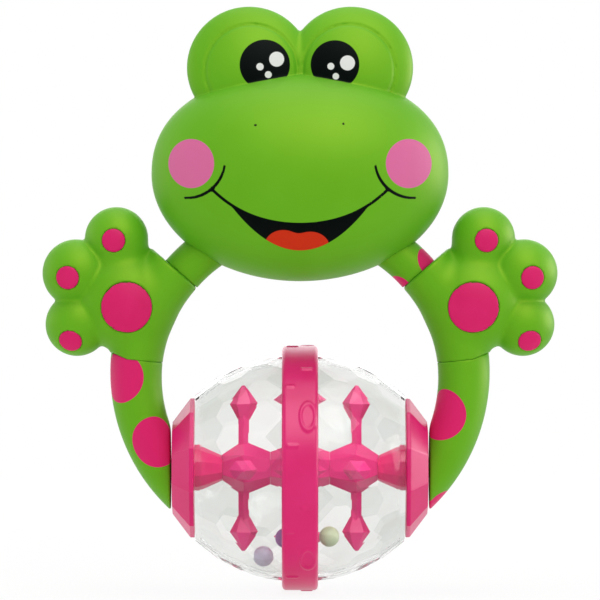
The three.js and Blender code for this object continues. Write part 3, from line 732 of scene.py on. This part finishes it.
def face_prints(piece):
    """Flush prints on the front of the head, as distances on its mesh."""
    p = np.array([v.co for v in piece.data.vertices]) / MM
    nearness = VIEW_DISTANCE / (VIEW_DISTANCE + p[:, 1] * MM)
    x = p[:, 0] * nearness
    z = (p[:, 2] - VIEW_Z / MM) * nearness + VIEW_Z / MM - HEAD_Z
    under_skin = -head_skin(p) - HEAD_WALL / 2
    behind_brow = BROW_MARGIN - muzzle(p)
    from_upper = above_curve(x, z, UPPER_LIP)
    below_lower = -above_curve(x, z, LOWER_LIP)
    lip = np.maximum(np.abs(from_upper) - LIP_HALF_WIDTH, np.abs(x) - LIP_END)
    mouth = np.maximum(from_upper, below_lower)
    tongue = joined(*(oval(x, z, *lobe) for lobe in TONGUE), TONGUE_BLEND)
    pupils = np.maximum(circles(x, z, PUPILS), behind_brow)
    black = np.minimum.reduce([pupils, lip, mouth, smile_line(x, z), circles(x, z, NOSTRILS)])
    layers = {
        "print_cheek": oval(np.abs(x), z, *CHEEK),
        "print_black": black,
        "print_white": np.maximum(circles(x, z, HIGHLIGHTS), behind_brow),
        "print_red": np.maximum(tongue, below_lower),
    }
    for layer, distance in layers.items():
        add_print(piece, layer, np.maximum(distance, under_skin))


def make_head():
    for word, side, material in (("front", -1, face_green), ("rear", 1, rear_green)):
        node = f"head_{word}_shell"
        points, faces = net_around(partial(head_half, side=side), node, HEAD_MARGIN, HEAD_STEP)
        piece = add_piece(f"{word}_of_head", points, faces, "frame", "green_plastic", material, node)
        if side < 0:
            face_prints(piece)


# Ring
ARM_STEP = 0.34
PAD_STEP = 0.28
RING_MARGIN = 2.4  # of the nets past their solids
# Spots on the arms: the middle and radius of the sphere that marks out each one
ARM_SPOTS = [
    (-43.6, -5.4, 51.4, 6.3),
    (-34.2, -6.5, 36.0, 6.2),
    (33.6, -4.9, 42.5, 6.2),
    (34.1, -1.0, 19.9, 4.4),
    (33.0, -3.6, 79.7, 4.95),
    (23.9, -1.5, 72.4, 3.5),
    (43.5, 5.6, 50.0, 5.8),
    (34.0, 6.4, 33.0, 6.0),
    (-42.0, 5.8, 46.0, 6.0),
    (-32.5, 4.0, 27.0, 5.0),
    (-26.0, 5.5, 77.0, 4.0),
    (27.5, 5.8, 77.0, 4.0),
]


def make_ring():
    for word in ("left", "right"):
        for part, field in (("upper_arm_sleeve", upper_sleeve), ("lower_arm_sleeve", lower_sleeve)):
            node = f"{word}_{part}"
            points, faces = net_around(field, node, RING_MARGIN, ARM_STEP)
            piece = add_piece(f"{node}_skin", points, faces, "frame", "green_soft", spotted_green, node)
            spots = [np.linalg.norm(points - spot[:3], axis=1) - spot[3] for spot in ARM_SPOTS]
            add_print(piece, "print_pink", np.min(spots, axis=0))
        points, faces = net_around(hand, f"{word}_hand", RING_MARGIN, ARM_STEP)
        add_piece(f"{word}_hand_skin", points, faces, "frame", "green_soft", hand_green, f"{word}_hand")
        for name in PADS:
            node = f"{word}_palm_pad" if name == "palm" else f"{word}_{name}_finger_pad"
            points, faces = net_around(partial(pad, name=name), node, RING_MARGIN, PAD_STEP)
            add_piece(f"{node}_insert", points, faces, "frame", "pink_soft", elastomer_pink, node)
    frame["nodes"]["ring_core"].data.materials.clear()
    frame["nodes"]["ring_core"].data.materials.append(core_green)


# Ball
BAND_STEPS_AROUND = 640
BAND_STEPS_ACROSS = 44
MOTIF_REPEATS = 5
# Raised bars of one motif: angle from the front, place across the band, half length across and round radius
MOTIF = [(12, -1.8, 1.0, 0.4), (43, -2.4, 0.7, 0.4), (55, 1.6, 1.0, 0.4)]
MOTIF_RING = (26.4, 1.9, 1.75, 3.4, 0.3)  # angle, place across, half width, half height and half line
EMBOSS_EDGE = 0.35
BEAD_RINGS = 24
BEAD_SEGMENTS = 40
BEAD_SEAM_DEPTH = 0.03  # of the radius
BEAD_SEAM_WIDTH = 4  # in degrees, each way
BEAD_COLOURS = {
    "purple": ("#8C5890", "#905C94"),
    "lilac": ("#B7ADC2", "#BBB1C6"),
    "pink": ("#E6689A", "#EA6C9E"),
    "green": ("#AEB798", "#B2BB9C"),
}
RIM_REACH = 0.01  # within which a point lies on the rim of a clear half
CAP_EDGE = 0.25
WHEEL_EDGE = 0.12
SPINDLE_EDGE = 0.1
TO_CAP = 0.27  # how far a wheel is drawn out to the cap beside it
TO_WHEEL = 0.13  # and to the next wheel


def emboss(turn, x):
    """Height of the band's raised marks, an oval ring and short bars, at an angle and a place across it."""
    pitch = 360 / MOTIF_REPEATS

    def along(angle):
        return np.radians((turn - angle + pitch / 2) % pitch - pitch / 2) * BAND_RADIUS

    angle, across, half_width, half_height, half_line = MOTIF_RING
    distance = np.abs(oval(x, along(angle), across, 0, half_width, half_height)) - half_line
    for angle, across, half_length, radius in MOTIF:
        from_bar = np.maximum(np.abs(x - across) - half_length, 0)
        distance = np.minimum(distance, np.hypot(along(angle), from_bar) - radius)
    share = np.clip(0.5 - distance / EMBOSS_EDGE, 0, 1)
    return EMBOSS_HEIGHT * share**2 * (3 - 2 * share)


def make_band():
    """The pink band, a turned ring with round edges and raised marks on its outside."""
    base = BAND_RADIUS - EMBOSS_HEIGHT
    bore = BAND_RADIUS - BAND_WALL
    flat = BAND_HALF_WIDTH - BAND_ROUND
    across = np.linspace(-BAND_HALF_WIDTH, BAND_HALF_WIDTH, BAND_STEPS_ACROSS)
    edge = np.maximum(np.abs(across) - flat, 0)
    skin = base - BAND_ROUND + np.sqrt(np.maximum(BAND_ROUND**2 - edge**2, 0))
    turns = np.arange(BAND_STEPS_AROUND) * 360 / BAND_STEPS_AROUND
    grid_turn, grid_x = np.meshgrid(turns, across, indexing="ij")
    fade = np.clip((BAND_HALF_WIDTH - np.abs(grid_x)) / BAND_ROUND, 0, 1)
    radius = skin[None, :] + emboss(grid_turn, grid_x) * fade
    radius = np.pad(radius, ((0, 0), (0, 2)), constant_values=bore)
    bore_x = np.tile((BAND_HALF_WIDTH, -BAND_HALF_WIDTH), (len(turns), 1))
    grid_x = np.concatenate((grid_x, bore_x), axis=1)
    angle = np.radians(turns)[:, None]
    points = np.stack((grid_x, -radius * np.cos(angle), BALL_Z + radius * np.sin(angle)), axis=-1)
    rows, columns = radius.shape
    faces = []
    for i, j in itertools.product(range(rows), range(columns)):
        a, b = i * columns, (i + 1) % rows * columns
        faces.append((a + j, a + (j + 1) % columns, b + (j + 1) % columns, b + j))
    piece = add_piece(
        "embossed_band", points.reshape(-1, 3), faces, "ball", "pink_plastic", styrene_pink, "centre_band"
    )
    piece.modifiers.new("flat_faces", "WEIGHTED_NORMAL")


def make_beads():
    """Round beads with the fine seam of their two moulded halves."""
    tilts = np.linspace(-90, 90, BEAD_RINGS + 1)[1:-1]
    seam = 1 - BEAD_SEAM_DEPTH * np.exp(-((tilts / BEAD_SEAM_WIDTH) ** 2))
    shape = [(0, 0, -BEAD_RADIUS), (0, 0, BEAD_RADIUS)]
    for tilt, radius in zip(np.radians(tilts), BEAD_RADIUS * seam):
        out = radius * math.cos(tilt)
        for turn in np.arange(BEAD_SEGMENTS) * 2 * math.pi / BEAD_SEGMENTS:
            shape.append((out * math.cos(turn), out * math.sin(turn), radius * math.sin(tilt)))
    faces = []
    last = 2 + (len(tilts) - 1) * BEAD_SEGMENTS
    for j in range(BEAD_SEGMENTS):
        k = (j + 1) % BEAD_SEGMENTS
        faces.append((0, 2 + k, 2 + j))
        faces.append((1, last + j, last + k))
        for a in range(2, last, BEAD_SEGMENTS):
            b = a + BEAD_SEGMENTS
            faces.append((a + j, a + k, b + k, b + j))
    for word, (dark, light) in BEAD_COLOURS.items():
        node = f"{word}_bead"
        low, high = box_mm(node)
        points = (low + high) / 2 + np.array(shape)
        plastic = moulded(f"{word}_styrene_bead", dark, light, patch=3, grain_depth=0.005, **styrene)
        add_piece(f"{word}_bead_round", points, faces, node, node, plastic, node)


def ring_between(form, outer, inner, towards):
    """Flat faces between two rings of points about the ball's axis, turned towards a direction along it."""
    rings = [[(math.atan2(v.co.z - BALL_Z * MM, v.co.y), v) for v in ring] for ring in (outer, inner)]
    steps = [(turn, number, v) for number, ring in enumerate(rings) for turn, v in ring]
    steps.sort(key=lambda step: step[:2])
    last = [max(ring, key=lambda item: item[0])[1] for ring in rings]
    faces = []
    for _, number, v in steps:
        face = form.faces.new((last[0], last[1], v))
        face.normal_update()
        if face.normal.x * towards < 0:
            face.normal_flip()
        last[number] = v
        faces.append(face)
    return faces


def make_clear_half(word, materials):
    """A clear half of the ball: the frame's flat facets outside, each with a painted shade of grey, and
    smooth and round inside.
    """
    node = f"{word}_shell"
    low, high = box_mm(node)
    seam_x, end_x = sorted((low[0], high[0]), key=abs)
    side = math.copysign(1, end_x)
    form = flat_faced(node)
    painted_shade = form.faces.layers.float.new("facet_painted_shade")
    for face in list(form.faces):
        middle = face.calc_center_median()
        face.smooth = False
        outward = face.normal.dot((0, middle.y, middle.z - BALL_Z * MM)) > 0
        if not outward or abs(face.normal.x) > FACES_ALONG:
            form.faces.remove(face)
    bmesh.ops.delete(form, geom=[e for e in form.edges if not e.link_faces], context="EDGES")
    bmesh.ops.delete(form, geom=[v for v in form.verts if not v.link_faces], context="VERTS")
    # Painted shade: a random grey on each facet, and part of the greyest on the small facets that the seam
    # cuts off
    draws = np.random.default_rng(FACET_SEED)
    for face in form.faces:
        whole = face.calc_area() > CUT_FACET_AREA * MM**2
        face[painted_shade] = FACET_PAINTED_SHADE * (draws.random() if whole else CUT_FACET_SHARE)
    rim = [v for v in form.verts if v.is_boundary]
    seam_rim = [v for v in rim if abs(v.co.x / MM - seam_x) < RIM_REACH]
    end_rim = [v for v in rim if abs(v.co.x / MM - end_x) < RIM_REACH]
    inner_end = end_x - side * SHELL_WALL
    profile = []
    for x in np.linspace(seam_x, inner_end, CLEAR_ROWS):
        profile.append((x, SHELL_RADIUS * math.sqrt(1 - (x / SHELL_HALF_LENGTH) ** 2) - SHELL_WALL))
    profile += [(inner_end, BOSS_HOLE_RADIUS), (end_x, BOSS_HOLE_RADIUS)]
    turns = np.arange(CLEAR_SEGMENTS) * 2 * math.pi / CLEAR_SEGMENTS
    rings = []
    for x, radius in profile:
        places = [(x, radius * math.cos(turn), BALL_Z + radius * math.sin(turn)) for turn in turns]
        rings.append([form.verts.new(np.array(place) * MM) for place in places])
    for number, (near, far) in enumerate(zip(rings[:-1], rings[1:])):
        for i in range(CLEAR_SEGMENTS):
            corners = (near[i - 1], far[i - 1], far[i], near[i])
            face = form.faces.new(corners if side > 0 else corners[::-1])
            face.smooth = number < CLEAR_ROWS - 1
            face.material_index = int(number >= CLEAR_ROWS - 1)
    ring_between(form, seam_rim, rings[0], -side)
    # The end walls take the greyest painted shade
    for face in ring_between(form, end_rim, rings[-1], side):
        face[painted_shade] = 1
        face.material_index = 1
    mesh = bpy.data.meshes.new(f"{word}_clear_half")
    form.to_mesh(mesh)
    form.free()
    for material in materials:
        mesh.materials.append(material)
    dress(stand(f"{word}_clear_half", mesh), "ball", "clear_plastic", node)


def make_ball():
    bends = {"clear_styrene": CLEAR_BEND, "clear_styrene_end_walls": END_WALL_BEND}
    clear = [clear_styrene(name, bend) for name, bend in bends.items()]
    for word, grow in (("left", (TO_CAP, TO_WHEEL)), ("right", (TO_WHEEL, TO_CAP))):
        make_clear_half(word, clear)
        softened(f"{word}_cap", f"{word}_end_cap", CAP_EDGE, "pink_plastic", styrene_pink)
        softened(f"{word}_peg_wheel", f"{word}_wheel_of_pegs", WHEEL_EDGE, "pink_plastic", wheel_pink, grow)
    grow = (TO_WHEEL, TO_WHEEL)
    softened("middle_peg_wheel", "middle_wheel_of_pegs", WHEEL_EDGE, "pink_plastic", wheel_pink, grow)
    softened("spindle", "hexagonal_spindle", SPINDLE_EDGE, "pink_plastic", wheel_pink)
    make_band()
    make_beads()


# Studio, in metres and watts
WORLD_LIGHT = 0.68
LAMP_SIZE = 0.7
# Place and power; a sheen lamp lights no surface evenly but only shows in its gloss, and the rear panel,
# which makes the upper edges pale, isn't seen through the clear plastic
LAMPS = {
    "left_sheen": ((-0.9, 0.15, 0.15), 1.5),
    "right_sheen": ((0.9, 0.15, 0.15), 10.0),
    "high_sheen": ((0.15, -0.6, 0.75), 7.0),
    "top_panel": ((0.05, 0.0, 0.95), 3.2),
    "front_panel": ((0.4, -0.85, 0.65), 2.0),
    "rear_panel": ((0.0, 0.85, 0.3), 2.0),
}
LAMP_AIM = (0, 0, 0.07)
FLOOR_HALF = 6.0
PAPER_FADE = (0.1, 0.8)  # from where to where the paper is lost in the white
PAPER_GLOW = 0.88  # beside the object, as it is seen
PAPER_BOUNCE = 0.4  # of that, for the light that it throws back on the object


def seen_ray(tree):
    """One for a ray that shows its surface to the eye, straight, mirrored or through the clear plastic."""
    path = add(tree, "LightPath").outputs
    seen = add(tree, "Math", {0: path["Is Camera Ray"], 1: path["Is Glossy Ray"]}, operation="MAXIMUM")
    seen = add(tree, "Math", {0: seen.outputs[0], 1: path["Is Transmission Ray"]}, operation="MAXIMUM")
    return seen.outputs[0]


def make_world():
    world = bpy.data.worlds.new("studio")
    bpy.context.scene.world = world
    world.use_nodes = True
    tree = world.node_tree
    tree.nodes.clear()
    light = add(tree, "Background", {"Color": WHITE, "Strength": WORLD_LIGHT})
    white = add(tree, "Background", {"Color": WHITE, "Strength": 1.0})
    mix = add(tree, "MixShader", {0: seen_ray(tree), 1: light.outputs[0], 2: white.outputs[0]})
    add(tree, "OutputWorld", {"Surface": mix.outputs[0]})


def make_lamps():
    for name, (place, power) in LAMPS.items():
        lamp = bpy.data.lights.new(name, "AREA")
        lamp.size = LAMP_SIZE
        lamp.energy = power
        holder = stand(name, lamp)
        holder.visible_diffuse = not name.endswith("sheen")
        holder.visible_transmission = name != "rear_panel"
        holder.location = place
        x, y, z = np.array(LAMP_AIM) - np.array(place)
        holder.rotation_euler = (math.atan2(math.hypot(x, y), -z), 0, math.atan2(-x, y))


def make_floor():
    """White paper, which keeps the shadow near the object and is lost in the white behind it."""
    corners = [(-FLOOR_HALF, -FLOOR_HALF, 0), (FLOOR_HALF, -FLOOR_HALF, 0)]
    corners += [(-x, -y, z) for x, y, z in corners]
    mesh = bpy.data.meshes.new("floor")
    mesh.from_pydata(corners, [], [(0, 1, 2, 3)])
    material, tree = new_material("white_paper")
    place = add(tree, "TexCoord").outputs["Object"]
    away = add(tree, "VectorMath", {0: place}, operation="LENGTH").outputs["Value"]
    fade = {"Value": away, "From Min": PAPER_FADE[0], "From Max": PAPER_FADE[1], "To Min": PAPER_GLOW}
    lost = add(tree, "MapRange", fade)
    share = add(tree, "Math", {0: seen_ray(tree), 1: PAPER_BOUNCE}, operation="MAXIMUM")
    share = add(tree, "Math", {0: share.outputs[0], 1: lost.outputs["Result"]}, operation="MULTIPLY")
    paper = add(tree, "BsdfDiffuse", {"Color": ink("#F3F3F3")})
    glow = add(tree, "Emission", {"Color": WHITE, "Strength": 1.0})
    mix = add(tree, "MixShader", {0: share.outputs[0], 1: paper.outputs[0], 2: glow.outputs[0]})
    add(tree, "OutputMaterial", {"Surface": mix.outputs[0]})
    mesh.materials.append(material)
    floor = stand("floor", mesh)


bpy.context.scene.view_settings.view_transform = "Standard"
make_world()
make_lamps()
make_floor()
make_head()
make_ring()
make_ball()

bpy.context.view_layer.update()
